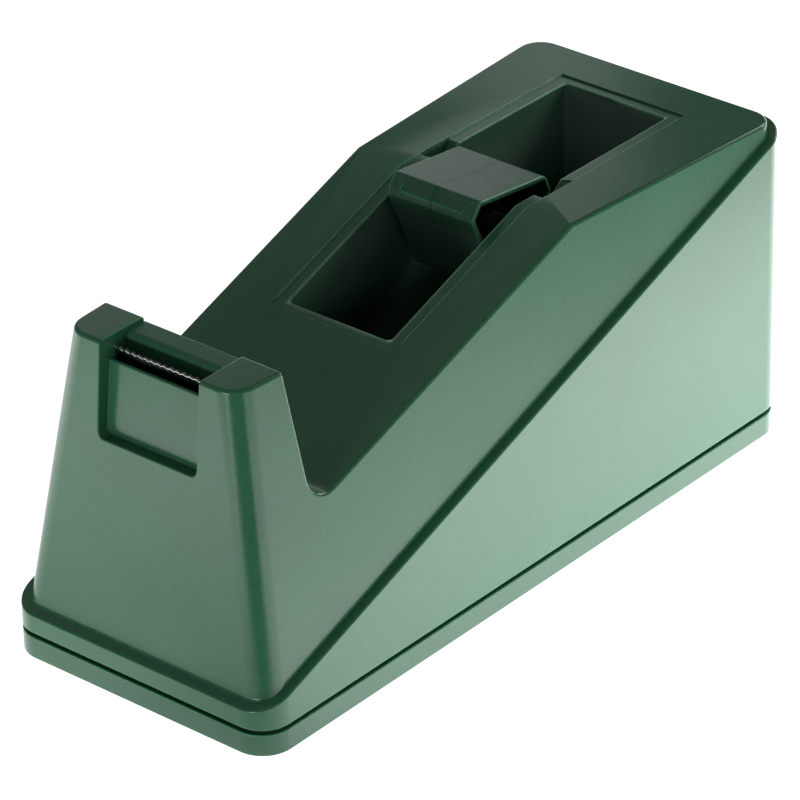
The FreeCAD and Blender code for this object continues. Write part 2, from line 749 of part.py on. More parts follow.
# the strip stands on its lower edge at the origin, then leans forward into its seat
blade_body = new_body("CutterBlade")
blade_sketch = new_sketch(blade_body, "BladeFace", "XZ_Plane")
add_loop(blade_sketch, rectangle(f"-{block_half}", "0", block_half, "Sizes.blade_depth"))
pad(blade_body, blade_sketch, "Sizes.blade_thick", reverse=True)
tooth_sketch = new_sketch(blade_body, "ToothGap", "XZ_Plane")
tooth_start = f"-{block_half}"
add_loop(
    tooth_sketch,
    [
        (tooth_start, "Sizes.blade_depth + Sizes.tooth_depth"),
        (tooth_start, "Sizes.blade_depth"),
        (f"{tooth_start} + Sizes.tooth_pitch / 2", "Sizes.blade_depth - Sizes.tooth_depth"),
        (f"{tooth_start} + Sizes.tooth_pitch", "Sizes.blade_depth"),
        (f"{tooth_start} + Sizes.tooth_pitch", "Sizes.blade_depth + Sizes.tooth_depth"),
    ],
)
first_gap = pocket(blade_body, tooth_sketch, "Sizes.width", symmetric=True)
teeth = blade_body.newObject("PartDesign::LinearPattern", "Teeth")
teeth.Originals = [first_gap]
teeth.Direction = (blade_sketch, ["H_Axis"])
tooth_gaps = f"floor(2 * {block_half} / Sizes.tooth_pitch)"
bind(teeth, {"Occurrences": tooth_gaps, "Length": f"({tooth_gaps} - 1) * Sizes.tooth_pitch"})
blade_body.Tip = teeth
blade_body.Placement.Rotation = Rotation(x_axis, value("Sizes.blade_lean"))
bind(blade_body, {"Placement.Rotation.Angle": "Sizes.blade_lean"})
cutter_blade = finish(
    blade_body,
    "cutter_blade",
    back=f"Sizes.tip_back + Sizes.blade_depth * {lean_sine}",
    level=f"Sizes.tip_level - Sizes.blade_depth * {lean_cosine}",
)

# ---- hub and axle, built round the X axis with one flat on top ----

hub_half = f"({half_well} - Sizes.hub_gap)"
corner_angles = (30, 150, 270)


def at_corner(angle, reach, along):
    """A point at a distance from the axis along a corner's direction, and a shift along its face."""
    across = f"{reach} * cos({angle}) - ({along}) * sin({angle})"
    up = f"{reach} * sin({angle}) + ({along}) * cos({angle})"
    return across, up


def hub_outline(inset):
    """A triangle with cut corners, an inset inside the hub's outer faces."""
    reach = f"(Sizes.hub_corner - ({inset}))"
    flat = f"(Sizes.hub_flat - ({inset}))"
    spread = f"((2 * {flat} - {reach}) * tan(30))"
    corners = []
    for angle in corner_angles:
        for along in (f"-{spread}", spread):
            corners.append(at_corner(angle, reach, along))
    return corners


def past_corner(edge):
    """Degrees from the nearest cut corner's middle to a long edge, turning with the corner angles."""
    place = middle(edge)
    turn = degrees(atan2(place.z, place.y)) - corner_angles[0]
    return (turn + 60) % 120 - 60


def begins_corner(edge):
    return is_crosswise(edge) and past_corner(edge) < 0


def ends_corner(edge):
    return is_crosswise(edge) and past_corner(edge) > 0


def grip_bar(low, high):
    """A rib's section on the front cut corner, between two distances along the corner's face."""
    root = "(Sizes.hub_corner - Sizes.grip_wall)"
    crown = "(Sizes.hub_corner + Sizes.grip_height)"
    places = ((root, low), (crown, low), (crown, high), (root, high))
    return [at_corner(corner_angles[1], reach, along) for reach, along in places]


def hub_shell(side_name, sign):
    """One half of the hub: sign is + for the right half and - for the left."""
    left_side = sign == "-"
    body = new_body("Hub" + side_name)

    rim = new_sketch(body, f"Hub{side_name}Rim", "YZ_Plane")
    add_loop(rim, hub_outline("0"))
    pad(body, rim, hub_half, reverse=left_side)
    fillet(body, f"Hub{side_name}SmallRounds", begins_corner, "Sizes.hub_round_small")
    fillet(body, f"Hub{side_name}LargeRounds", ends_corner, "Sizes.hub_round_large")

    hollow = new_sketch(body, f"Hub{side_name}Hollow", "YZ_Plane", f"{sign}Sizes.hub_web")
    add_loop(hollow, hub_outline("Sizes.hub_wall"))
    pocket(body, hollow, hub_half, reverse=not left_side)

    tube = new_sketch(body, f"Hub{side_name}Tube", "YZ_Plane")
    add_circle(tube, "0", "0", "Sizes.hub_tube / 2")
    pad(body, tube, f"{hub_half} - Sizes.hub_tube_inset", reverse=left_side)

    spoke = new_sketch(body, f"Hub{side_name}Spoke", "YZ_Plane")
    spoke_half = "(Sizes.spoke_wall / 2)"
    spoke_top = "(Sizes.hub_flat - Sizes.hub_wall / 2)"
    add_loop(spoke, rectangle(f"-{spoke_half}", "Sizes.hub_tube / 4", spoke_half, spoke_top))
    spoke_pad = pad(body, spoke, f"{hub_half} - Sizes.spoke_inset", reverse=left_side)
    around_axle(body, f"Hub{side_name}Spokes", spoke_pad)

    # grip ribs: a long bar low on the cut corner and a short leg at its end
    bar_low = "Sizes.grip_place - Sizes.grip_wall / 2"
    bar_high = "Sizes.grip_place + Sizes.grip_wall / 2"
    bar = new_sketch(body, f"Hub{side_name}GripBar", "YZ_Plane")
    add_loop(bar, grip_bar(bar_low, bar_high))
    bar_pad = pad(body, bar, f"{hub_half} - Sizes.grip_margin", reverse=left_side)
    around_axle(body, f"Hub{side_name}GripBars", bar_pad)
    leg_place = f"{sign}({hub_half} - Sizes.grip_margin - Sizes.grip_wall)"
    leg = new_sketch(body, f"Hub{side_name}GripLeg", "YZ_Plane", leg_place)
    add_loop(leg, grip_bar(f"{bar_high} - Sizes.grip_leg", bar_high))
    leg_pad = pad(body, leg, "Sizes.grip_wall", reverse=left_side)
    around_axle(body, f"Hub{side_name}GripLegs", leg_pad)

    # pegs on the right half, sockets for them in the left
    peg = new_sketch(body, f"Hub{side_name}Peg", "YZ_Plane")
    peg_play = "Sizes.peg_play" if left_side else "0"
    add_circle(peg, "0", "-Sizes.peg_radius", f"Sizes.peg_diameter / 2 + {peg_play}")
    if left_side:
        peg_feature = pocket(body, peg, "Sizes.peg_length + Sizes.peg_play")
    else:
        peg_feature = pad(body, peg, "Sizes.peg_length", reverse=True)
    around_axle(body, f"Hub{side_name}Pegs", peg_feature)

    bore = new_sketch(body, f"Hub{side_name}Bore", "YZ_Plane")
    add_circle(bore, "0", "0", "Sizes.axle_diameter / 2 + Sizes.bore_play")
    pocket(body, bore, "Sizes.width", symmetric=True)

    body.Placement.Rotation = Rotation(x_axis, -value("Sizes.hub_tilt"))
    bind(body, {"Placement.Rotation.Angle": "-Sizes.hub_tilt"})
    return finish(body, "hub_" + side_name.lower(), back="Sizes.hub_back", level="Sizes.hub_level")


hub_left = hub_shell("Left", "-")
hub_right = hub_shell("Right", "+")

axle_body = new_body("Axle")
axle_sketch = new_sketch(axle_body, "AxleEnd", "YZ_Plane")
add_circle(axle_sketch, "0", "0", "Sizes.axle_diameter / 2")
pad(axle_body, axle_sketch, f"2 * ({channel_reach} - Sizes.channel_end_play)", symmetric=True)
chamfer(axle_body, "AxleEnds", is_circle, "Sizes.axle_chamfer")
axle = finish(axle_body, "axle", back="Sizes.hub_back", level="Sizes.hub_level")

# ---- base tray with its lip, fences, screw bosses and the recesses for the feet ----


def tray_rectangle(inset):
    return rectangle(
        f"-({half_width} - ({inset}))",
        inset,
        f"{half_width} - ({inset})",
        f"Sizes.length - ({inset})",
    )


def tray_plate(name, inset, height, corner):
    """A plate with round corners from the tray's underside up."""
    sketch = new_sketch(tray_body, name, "XY_Plane", "Sizes.foot_proud")
    add_loop(sketch, tray_rectangle(inset))
    pad(tray_body, sketch, height)
    corner_x = value(f"{half_width} - ({inset})")

    def upright_corner(edge):
        return runs_along(edge, z_axis) and abs(abs(middle(edge).x) - corner_x) < 0.01

    fillet(tray_body, name + "Corners", upright_corner, corner)


tray_body = new_body("BaseTray")
tray_plate("TrayPlate", "0", "Sizes.tray_edge", "Sizes.plan_corner")
tray_plate("TrayLip", lip_outer, "Sizes.lip_level - Sizes.foot_proud", f"Sizes.plan_corner - {lip_outer}")
tray_hollow = new_sketch(tray_body, "TrayHollow", "XY_Plane", floor_top)
add_loop(tray_hollow, tray_rectangle(lip_inner))
pocket(tray_body, tray_hollow, "Sizes.lip_level", reverse=True)

fences = new_sketch(tray_body, "BallastFences", "XY_Plane", floor_top)
for sign in ("-", ""):
    for margin in (fence_outer, "Sizes.ballast_play"):
        add_loop(
            fences,
            rectangle(
                f"{sign}({bar_inner} - {margin})",
                f"Sizes.ballast_margin - {margin}",
                f"{sign}({bar_outer} + {margin})",
                f"Sizes.length - Sizes.ballast_margin + {margin}",
            ),
        )
pad(tray_body, fences, "Sizes.fence_height")

tray_posts = new_sketch(tray_body, "TrayBosses", "XY_Plane", "Sizes.foot_proud")
for across, back in screw_places:
    add_circle(tray_posts, across, back, "Sizes.tray_boss / 2")
pad(tray_body, tray_posts, "Sizes.lip_level - Sizes.foot_proud")
head_recess = "Sizes.screw_head_height + Sizes.head_play"
head_holes = new_sketch(tray_body, "HeadHoles", "XY_Plane", "Sizes.foot_proud")
shank_holes = new_sketch(tray_body, "ShankHoles", "XY_Plane", "Sizes.foot_proud")
for across, back in screw_places:
    add_circle(head_holes, across, back, "Sizes.screw_head / 2 + Sizes.head_play")
    add_circle(shank_holes, across, back, "Sizes.screw_shank / 2 + Sizes.screw_play")
pocket(tray_body, head_holes, head_recess, reverse=True)
pocket(tray_body, shank_holes, "Sizes.lip_level * 2", reverse=True)

foot_side = f"({half_width} - Sizes.foot_margin_side)"
foot_rear = "(Sizes.length - Sizes.foot_margin_end)"
foot_places = [
    ("front_left", f"-{foot_side}", "Sizes.foot_margin_end"),
    ("front_right", foot_side, "Sizes.foot_margin_end"),
    ("rear_left", f"-{foot_side}", foot_rear),
    ("rear_right", foot_side, foot_rear),
]
foot_holes = new_sketch(tray_body, "FootRecesses", "XY_Plane", "Sizes.foot_proud")
for place_name, across, back in foot_places:
    add_circle(foot_holes, across, back, "Sizes.foot_diameter / 2 + Sizes.foot_play")
pocket(tray_body, foot_holes, "Sizes.foot_recess", reverse=True)
base_tray = finish(tray_body, "base_tray")

# ---- feet, screws, ballast and foam ----

for place_name, across, back in foot_places:
    foot_body = new_body("Foot_" + place_name)
    foot_sketch = new_sketch(foot_body, f"Foot_{place_name}_disc", "XY_Plane")
    add_circle(foot_sketch, "0", "0", "Sizes.foot_diameter / 2")
    pad(foot_body, foot_sketch, "Sizes.foot_proud + Sizes.foot_recess")
    chamfer(foot_body, f"Foot_{place_name}_edge", is_circle, "Sizes.foot_chamfer")
    finish(foot_body, "foot_" + place_name, across=across, back=back)

screw_body = new_body("BaseScrews")
screw_body.AllowCompound = True
head_foot = f"({floor_top} - Sizes.screw_head_height)"
heads = new_sketch(screw_body, "ScrewHeads", "XY_Plane", head_foot)
shanks = new_sketch(screw_body, "ScrewShanks", "XY_Plane", head_foot)
crosses = new_sketch(screw_body, "ScrewCrosses", "XY_Plane", head_foot)
slim = "(Sizes.cross_width / 2)"
wide = "(Sizes.screw_head / 2 - Sizes.cross_width)"
cross_turns = [("", ""), ("-", ""), ("-", "-"), ("", "-")]
for across, back in screw_places:
    add_circle(heads, across, back, "Sizes.screw_head / 2")
    add_circle(shanks, across, back, "Sizes.screw_shank / 2")
    cross = []
    for turn, (x_sign, y_sign) in enumerate(cross_turns):
        arm = [(wide, slim), (slim, slim), (slim, wide)]
        if turn % 2:
            arm.reverse()
        cross += [(f"{across} + {x_sign}{x}", f"{back} + {y_sign}{y}") for x, y in arm]
    add_loop(crosses, cross)
pad(screw_body, heads, "Sizes.screw_head_height")
pad(screw_body, shanks, "Sizes.screw_head_height + Sizes.screw_length")
pocket(screw_body, crosses, "Sizes.cross_depth", reverse=True)
finish(screw_body, "base_screws")


def bar_between(name, inset, low, height):
    """A bar as long as the ballast bays, with its middle at X = 0."""
    body = new_body(name)
    sketch = new_sketch(body, name + "Plan", "XY_Plane", low)
    half = f"(({bar_outer} - {bar_inner}) / 2 - {inset})"
    front = f"Sizes.ballast_margin + {inset}"
    add_loop(sketch, rectangle(f"-{half}", front, half, f"Sizes.length - ({front})"))
    pad(body, sketch, height)
    return body


for side_name, sign in (("left", "-"), ("right", "")):
    bay = f"{sign}({bar_inner} + {bar_outer}) / 2"
    bar = bar_between("Ballast_" + side_name, "0", floor_top, "Sizes.ballast_height")
    chamfer(bar, f"Ballast_{side_name}_edges", runs_anywhere, "Sizes.ballast_chamfer")
    finish(bar, "ballast_" + side_name, across=bay)
    foam = bar_between("Foam_" + side_name, "Sizes.foam_inset", bar_top, "Sizes.foam_height")
    finish(foam, "ballast_pad_" + side_name, across=bay)

# ---- checks and files ----

doc.recompute()
for item in doc.Objects:
    if "Invalid" in item.State or "Error" in item.State:
        raise RuntimeError(f"{item.Name} failed: {item.State}")
for piece in subparts:
    if piece.Shape.isNull() or not piece.Shape.isValid():
        raise RuntimeError(f"{piece.Label} has no valid shape")

os.makedirs("parts", exist_ok=True)
for piece in subparts:
    piece.Shape.exportStep(f"parts/{piece.Label}.step")
    solids = len(piece.Shape.Solids)
    print(f"{piece.Label}: {solids} solid(s), {piece.Shape.Volume:.0f} mm3")
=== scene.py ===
import math

import bmesh
import bpy
from mathutils import Matrix, Vector


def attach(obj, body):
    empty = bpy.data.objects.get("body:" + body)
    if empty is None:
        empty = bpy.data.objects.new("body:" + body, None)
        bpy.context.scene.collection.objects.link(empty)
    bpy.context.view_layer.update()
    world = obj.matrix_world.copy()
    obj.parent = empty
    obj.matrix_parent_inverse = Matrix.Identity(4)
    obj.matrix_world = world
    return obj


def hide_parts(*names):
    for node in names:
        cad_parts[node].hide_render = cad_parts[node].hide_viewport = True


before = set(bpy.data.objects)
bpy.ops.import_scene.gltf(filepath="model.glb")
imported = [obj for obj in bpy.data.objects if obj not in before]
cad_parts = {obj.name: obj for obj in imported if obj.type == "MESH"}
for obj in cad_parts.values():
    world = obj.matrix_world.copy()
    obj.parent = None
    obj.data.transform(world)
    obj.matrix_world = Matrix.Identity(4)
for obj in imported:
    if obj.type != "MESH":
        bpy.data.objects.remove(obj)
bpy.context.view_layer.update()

# Desk tape dispenser: green housing on a base tray, steel cutter, hub on an axle over the roll well.
# X runs across the width, Y towards the rear, Z up from the desk; the origin is under the middle.
# Blender works in metres; the pieces' places and widths below are in mm, and mm turns them into metres.
mm = 0.001
straight = 0.99  # cosine from which a direction counts as running along an axis
scene = bpy.context.scene


def selectOnly(piece):
    if bpy.context.object and bpy.context.object.mode != "OBJECT":
        bpy.ops.object.mode_set(mode="OBJECT")
    bpy.ops.object.select_all(action="DESELECT")
    piece.select_set(True)
    bpy.context.view_layer.objects.active = piece


def startEdit(piece):
    # nothing else is selected, so the operators act on this piece alone
    selectOnly(piece)
    bpy.ops.object.mode_set(mode="EDIT")
    bpy.ops.mesh.select_all(action="DESELECT")
    return bmesh.from_edit_mesh(piece.data)


def endEdit(piece):
    bmesh.update_edit_mesh(piece.data)
    bpy.ops.object.mode_set(mode="OBJECT")


def applyModifier(piece, kind, **settings):
    modifier = piece.modifiers.new(kind.title(), kind)
    for name, value in settings.items():
        setattr(modifier, name, value)
    selectOnly(piece)
    bpy.ops.object.modifier_apply(modifier=modifier.name)


def copyOfNode(nodeName, pieceName, faceFinish, edgeFinish, mergeWithin=0.001, samePlane=0.3):
    # the node's triangles are loose: merge them, then join those that lie in one plane
    piece = bpy.data.objects.new(pieceName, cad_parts[nodeName].data.copy())
    scene.collection.objects.link(piece)
    piece.data.materials.clear()
    for material in (faceFinish, edgeFinish):
        piece.data.materials.append(material)
    startEdit(piece)
    bpy.ops.mesh.select_all(action="SELECT")
    bpy.ops.mesh.remove_doubles(threshold=mergeWithin * mm)
    bpy.ops.mesh.customdata_custom_splitnormals_clear()
    bpy.ops.mesh.dissolve_limited(angle_limit=math.radians(samePlane))
    endEdit(piece)
    return piece


def isAny(edge, middle):
    return True


def directionOf(edge):
    return (edge.verts[0].co - edge.verts[1].co).normalized()


def roundEdges(piece, rules, segments=3, sharpest=26, keepsFinish=None):
    # a rule is a test of an edge and the width of its rounding; the first that fits counts
    faceSlot, edgeSlot = 0, 1
    widest = max(width for _, width in rules)
    mesh = startEdit(piece)
    weights = mesh.edges.layers.float.new("bevel_weight_edge")
    for edge in mesh.edges:
        if edge.calc_face_angle(0) > math.radians(sharpest):
            middle = (edge.verts[0].co + edge.verts[1].co) / 2 / mm
            for fits, width in rules:
                if fits(edge, middle):
                    edge[weights] = width / widest
                    break
    endEdit(piece)
    applyModifier(piece, "BEVEL", width=widest * mm, segments=segments, limit_method="WEIGHT",
                  use_clamp_overlap=False, loop_slide=True, material=edgeSlot)
    # only what stands out keeps the brighter edge finish, partly wear and partly painted edge highlight;
    # hollows don't
    mesh = startEdit(piece)
    for face in mesh.faces:
        if face.material_index == edgeSlot:
            bend = sum(edge.calc_face_angle_signed(0) for edge in face.edges)
            if bend <= 0 or keepsFinish and keepsFinish(face.calc_center_median() / mm):
                face.material_index = faceSlot
    endEdit(piece)


def smoothFaces(piece, angle=40, weight=100):
    selectOnly(piece)
    bpy.ops.object.shade_smooth_by_angle(angle=math.radians(angle))
    applyModifier(piece, "WEIGHTED_NORMAL", keep_sharp=True, weight=weight)


def finishPiece(piece, body, node):
    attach(piece, body)
    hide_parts(node)


def fromAround(azimuth, elevation):
    # azimuth counts from the front towards the right
    azimuth, elevation = math.radians(azimuth), math.radians(elevation)
    return Vector((math.sin(azimuth) * math.cos(elevation),
                   -math.cos(azimuth) * math.cos(elevation),
                   math.sin(elevation)))


cameraLook = {
    "azimuth": 40.3364,  # degrees
    "elevation": 29.5187,
    "roll": -1.0787,
    "place": (0.52897, -0.62520, 0.49308),  # metres
    "lens": 226.56,
    "sensor": 36,
    "near": 0.05,  # metres
    "far": 20,
}


def makeCamera(look):
    bpy.ops.object.camera_add(location=look["place"])
    camera = bpy.context.object
    camera.name = "studioCamera"
    aim = fromAround(look["azimuth"], look["elevation"]).to_track_quat("Z", "Y")
    roll = Matrix.Rotation(math.radians(look["roll"]), 3, "Z").to_quaternion()
    camera.rotation_euler = (aim @ roll).to_euler()
    camera.data.lens = look["lens"]
    camera.data.sensor_width = look["sensor"]
    camera.data.clip_start = look["near"]
    camera.data.clip_end = look["far"]
    scene.camera = camera


makeCamera(cameraLook)
print("camera placed")


class Steps:
    # the few node steps that the finishes, the floor and the air share
    def __init__(self, tree, coordinates):
        self.nodes, self.links = tree.nodes, tree.links
        self.place = self.nodes.new("ShaderNodeTexCoord").outputs[coordinates]

    def plug(self, socket, value):
        # a number, a colour, a direction, or what another node gives
        if isinstance(value, bpy.types.NodeSocket):
            self.links.new(value, socket)
        elif socket.type == "RGBA":
            socket.default_value = (*value, 1)
        else:
            socket.default_value = value

    def step(self, kind, output, sockets, **settings):
        node = self.nodes.new("ShaderNode" + kind)
        for name, value in settings.items():
            setattr(node, name, value)
        for key, value in sockets.items():
            self.plug(node.inputs[key], value)
        return node.outputs[output]

    def axis(self, name):
        return self.step("SeparateXYZ", name, {0: self.place})

    def stretched(self, scale):
        return self.step("Mapping", "Vector", {"Vector": self.place, "Scale": scale})

    def noise(self, scale, detail=3, roughness=0.5, place=None):
        return self.step("TexNoise", "Fac", {"Scale": scale, "Detail": detail, "Roughness": roughness,
                                             "Vector": place or self.place})

    def cells(self, scale):
        return self.step("TexVoronoi", "Distance", {"Scale": scale, "Vector": self.place})

    def math(self, operation, first, second=0.0):
        return self.step("Math", 0, {0: first, 1: second}, operation=operation)

    def vector(self, operation, first, second, output="Vector"):
        return self.step("VectorMath", output, {0: first, 1: second}, operation=operation)

    def product(self, *factors):
        result = factors[0]
        for factor in factors[1:]:
            result = self.math("MULTIPLY", result, factor)
        return result

    def remap(self, source, low, high, toLow=0.0, toHigh=1.0, kind="LINEAR"):
        return self.step("MapRange", "Result", {"Value": source, "From Min": low, "From Max": high,
                                                "To Min": toLow, "To Max": toHigh}, interpolation_type=kind)

    def spread(self, source, toLow=0.0, toHigh=1.0, low=0.3, high=0.7):
        # a noise hardly leaves its middle, so its usual low and high are taken for the ends
        return self.remap(source, low, high, toLow, toHigh)

    def along(self, direction, low, high, toLow=0.0, toHigh=1.0):
        reach = self.vector("DOT_PRODUCT", self.place, direction, "Value")
        return self.remap(reach, low, high, toLow, toHigh, "SMOOTHSTEP")

    def showPlain(self, lamp, plain, output):
        # the stage looks plain and pale, and only its light on the object varies
        isSeen = self.nodes.new("ShaderNodeLightPath").outputs["Is Camera Ray"]
        shader = self.step("MixShader", 0, {"Fac": isSeen, 1: lamp.outputs[0], 2: plain.outputs[0]})
        self.plug(output.inputs["Surface"], shader)


class Finish(Steps):
    def __init__(self, name):
        self.material = bpy.data.materials.new(name)
        self.material.use_nodes = True
        super().__init__(self.material.node_tree, "Object")
        self.shader = self.nodes["Principled BSDF"]

    def mix(self, factor, first, second):
        return self.step("Mix", "Result", {"Factor": factor, "A": first, "B": second}, data_type="RGBA")

    def normal(self):
        return self.nodes.new("ShaderNodeTexCoord").outputs["Normal"]

    def facing(self, direction, low, high):
        # 0 to 1 as a face turns towards a direction of the object
        return self.remap(self.vector("DOT_PRODUCT", self.normal(), direction, "Value"), low, high)

    def between(self, source, marks, toLow, toHigh):
        # goes from one value to the other between two marks
        return self.remap(source, marks[0] * mm, marks[1] * mm, toLow, toHigh)

    def within(self, source, inner, outer):
        # 1 up to the inner mark, 0 from the outer one on
        return self.remap(source, outer * mm, inner * mm)

    def offMiddle(self, middle=0.0):
        # distance to the left or right from the middle plane, or from a line beside it
        across = self.math("ABSOLUTE", self.axis("X"))
        return self.math("ABSOLUTE", self.math("SUBTRACT", across, middle * mm)) if middle else across

    def bump(self, height, distance, onto=None):
        sockets = {"Strength": 1.0, "Distance": distance * mm, "Height": height}
        if onto:
            sockets["Normal"] = onto
        return self.step("Bump", "Normal", sockets)

    def set(self, **values):
        for name, value in values.items():
            self.plug(self.shader.inputs[name.replace("_", " ")], value)


plasticLook = {
    "dark": (0.0215, 0.131, 0.0605),
    "light": (0.0250, 0.149, 0.0695),
    "cloudScale": 60,
    "mottle": 0.042,  # fine pale grain in the colour
    "mottleScale": 2400,
    "dustAndVeil": 0.28,
    "dustAndVeilColour": (0.55, 0.66, 0.60),
    "dustScale": 700,
    "dustSize": 0.10,
    "dustPatches": 77,  # scale of the patches that dust lies in
    "dustCover": (0.54, 0.60),
    "dustFacing": (0.1, 0.7),
    "roughness": 0.20,
    "smudge": 0.025,  # how much the gloss varies
    "smudgeScale": 90,
    "scuff": 0.05,
    "scuffScale": 900,
    "scuffStretch": (1, 0.06, 0.3),
    "scuffCover": (0.66, 0.74),
    "ripple": 0.02,  # mm, long waves from the mould's flow
    "flowScale": 55,
    "flowStretch": (1, 0.35, 1),
    "grain": 0.004,  # mm
    "grainScale": 3400,
    "ior": 1.5,
}
# brighter colour on rounded edges: partly wear, partly painted edge highlight
edgeWearAndHighlight = {"dark": (0.040, 0.225, 0.108), "light": (0.055, 0.285, 0.140), "dustAndVeil": 0.0}
paintedShadeGreen = (0.006, 0.011, 0.008)  # painted shade: the colour put where next to no light gets in


def mouldedPlastic(name, look, well=None, lip=None, hub=None):
    finish = Finish(name)
    tint = finish.mix(finish.spread(finish.noise(look["cloudScale"], 4)), look["dark"], look["light"])
    fine = finish.spread(finish.noise(look["mottleScale"], 2))
    tint = finish.mix(finish.product(fine, look["mottle"]), tint, look["dustAndVeilColour"])
    # dust lies on what faces up, scuffs are everywhere
    specks = finish.remap(finish.cells(look["dustScale"]), look["dustSize"], look["dustSize"] * 0.6)
    patches = finish.remap(finish.noise(look["dustPatches"], 2), *look["dustCover"])
    dustAndVeil = finish.product(specks, patches, finish.facing((0, 0, 1), *look["dustFacing"]), look["dustAndVeil"])
    smudge = finish.spread(finish.noise(look["smudgeScale"], 5, 0.6),
                           look["roughness"] - look["smudge"], look["roughness"] + look["smudge"])
    scratches = finish.noise(look["scuffScale"], 2, 0.5, finish.stretched(look["scuffStretch"]))
    roughness = finish.math("ADD", smudge, finish.remap(scratches, *look["scuffCover"], 0, look["scuff"]))
    if well:
        inside, film = wellMasks(finish, well)
        # the well's pale film, partly dust and partly a painted veil of reflected light, joins the dust
        dustAndVeil = finish.math("MAXIMUM", dustAndVeil, finish.product(inside, film))
        roughness = finish.math("ADD", roughness, finish.product(inside, well["roughness"]))
    tint = finish.mix(dustAndVeil, tint, look["dustAndVeilColour"])
    if well:
        # painted shade: the well's walls turn darker towards the bottom
        depth = finish.between(finish.axis("Z"), well["shadeFall"], 0, well["shade"])
        tint = finish.mix(finish.product(inside, depth), tint, paintedShadeGreen)
    if lip:
        # painted highlight along the well's lip and the sunk border's outer edge
        tint = finish.mix(lipMask(finish, lip), tint, lip["colour"])
    if hub:
        # painted shade darkens the inside of the hub and dulls its reflection there
        shade, corner, veil = hubMasks(finish, hub)
        tint = finish.mix(shade, finish.mix(veil, tint, look["dustAndVeilColour"]), paintedShadeGreen)
        roughness = finish.math("ADD", roughness, finish.product(corner, hub["cornerRoughness"]))
        finish.set(Specular_IOR_Level=finish.remap(shade, 0, 1, hub["specular"], hub["dullSpecular"]))
    flow = finish.noise(look["flowScale"], 3, 0.55, finish.stretched(look["flowStretch"]))
    ripple = finish.bump(flow, look["ripple"])
    grain = finish.bump(finish.noise(look["grainScale"], 2), look["grain"], ripple)
    finish.set(Base_Color=tint, Roughness=roughness, IOR=look["ior"], Normal=grain)
    return finish.material


def wellMasks(finish, look):
    # the well's walls are matt, with a pale film that thins out downwards and near the top: partly dust,
    # partly a painted veil of reflected light
    height = finish.axis("Z")
    inside = finish.product(finish.within(finish.offMiddle(), look["side"], look["side"] + look["sideFade"]),
                            finish.within(finish.axis("Y"), look["front"], look["front"] - look["fade"]),
                            finish.within(finish.axis("Y"), look["rear"], look["rear"] + look["fade"]),
                            finish.within(height, look["top"], look["top"] + look["fade"]))
    film = finish.product(finish.between(height, look["filmRise"], look["filmBelow"], look["film"]),
                          finish.between(height, look["filmFall"], 1.0, look["filmTop"]))
    # painted veil: walls that face the front get more of the pale film
    onRear = finish.product(finish.facing((0, -1, 0), *look["rearFacing"]), look["rearFilm"])
    return inside, finish.math("ADD", film, onRear)


def lipMask(finish, look):
    # painted highlight: the sunk border is coloured bright along the well's lip and along its own outer edge
    shape = housingShape
    slopeLow = shape["slopeLevel"] - shape["slopeStart"] * shape["slopeRise"]
    slope = finish.math("ADD", finish.product(finish.axis("Y"), shape["slopeRise"]), slopeLow * mm)
    deck = finish.math("MINIMUM", shape["flatLevel"] * mm, slope)
    onTop = finish.product(finish.within(finish.math("SUBTRACT", finish.axis("Z"), deck), *look["depth"]),
                           finish.within(finish.axis("Y"), *look["front"]),
                           finish.within(finish.axis("Y"), *look["rear"]))
    lip = finish.within(finish.offMiddle(), *look["lip"])
    border = finish.within(finish.offMiddle(look["border"]), *look["borderWidth"])
    uneven = finish.spread(finish.noise(look["scale"], 3), look["least"], 1.0, *look["cover"])
    sided = finish.between(finish.axis("X"), look["sides"], look["left"], 1.0)
    return finish.product(finish.math("MAXIMUM", lip, finish.product(border, look["borderHighlight"])),
                          onTop, uneven, sided)


def hubMasks(finish, look):
    # painted shade inside, a fine dark line where the halves meet, dull corners, and a pale veil low down
    # that is partly dust and partly painted reflected light
    offset = finish.vector("SUBTRACT", finish.place, (0, look["axis"][0] * mm, look["axis"][1] * mm))
    radial = finish.vector("MULTIPLY", offset, (0, 1, 1))
    reach = finish.vector("LENGTH", radial, (0, 0, 0), "Value")
    outward = finish.vector("DOT_PRODUCT", radial, finish.normal(), "Value")
    inside = finish.math("MAXIMUM", finish.within(outward, *look["inward"]),
                         finish.within(reach, *look["open"]))
    seam = finish.within(finish.offMiddle(), *look["seam"])
    shade = finish.math("MAXIMUM", finish.product(inside, look["insideShade"]),
                        finish.product(seam, look["seamShade"]))
    corner = finish.within(reach, *look["corner"])
    # the pale veil low down is partly dust and partly painted reflected light
    veil = finish.product(finish.within(finish.axis("Z"), *look["veilHeight"]), look["veil"])
    return shade, corner, veil


def brushedSteel(name, look, shinier=0.06, duller=0.08):
    finish = Finish(name)
    lines = finish.noise(look["lineScale"], 3, 0.6, finish.stretched(look["stretch"]))
    stain = finish.spread(finish.noise(look["stainScale"], 4, 0.6), low=0.35, high=0.65)
    finish.set(Base_Color=finish.mix(stain, look["dark"], look["light"]), Metallic=1.0,
               Roughness=finish.spread(lines, look["roughness"] - shinier, look["roughness"] + duller),
               Normal=finish.bump(lines, look["line"]))
    return finish.material


def grainySolid(name, look, shinier=0.08, duller=0.08):
    finish = Finish(name)
    grain = finish.noise(look["grainScale"], 4, 0.65)
    patches = finish.spread(finish.noise(look["patchScale"], 4, 0.6), low=0.35, high=0.65)
    finish.set(Base_Color=finish.mix(patches, look["dark"], look["light"]), Metallic=look["metallic"],
               Roughness=finish.spread(grain, look["roughness"] - shinier, look["roughness"] + duller),
               Normal=finish.bump(grain, look["grain"]))
    return finish.material


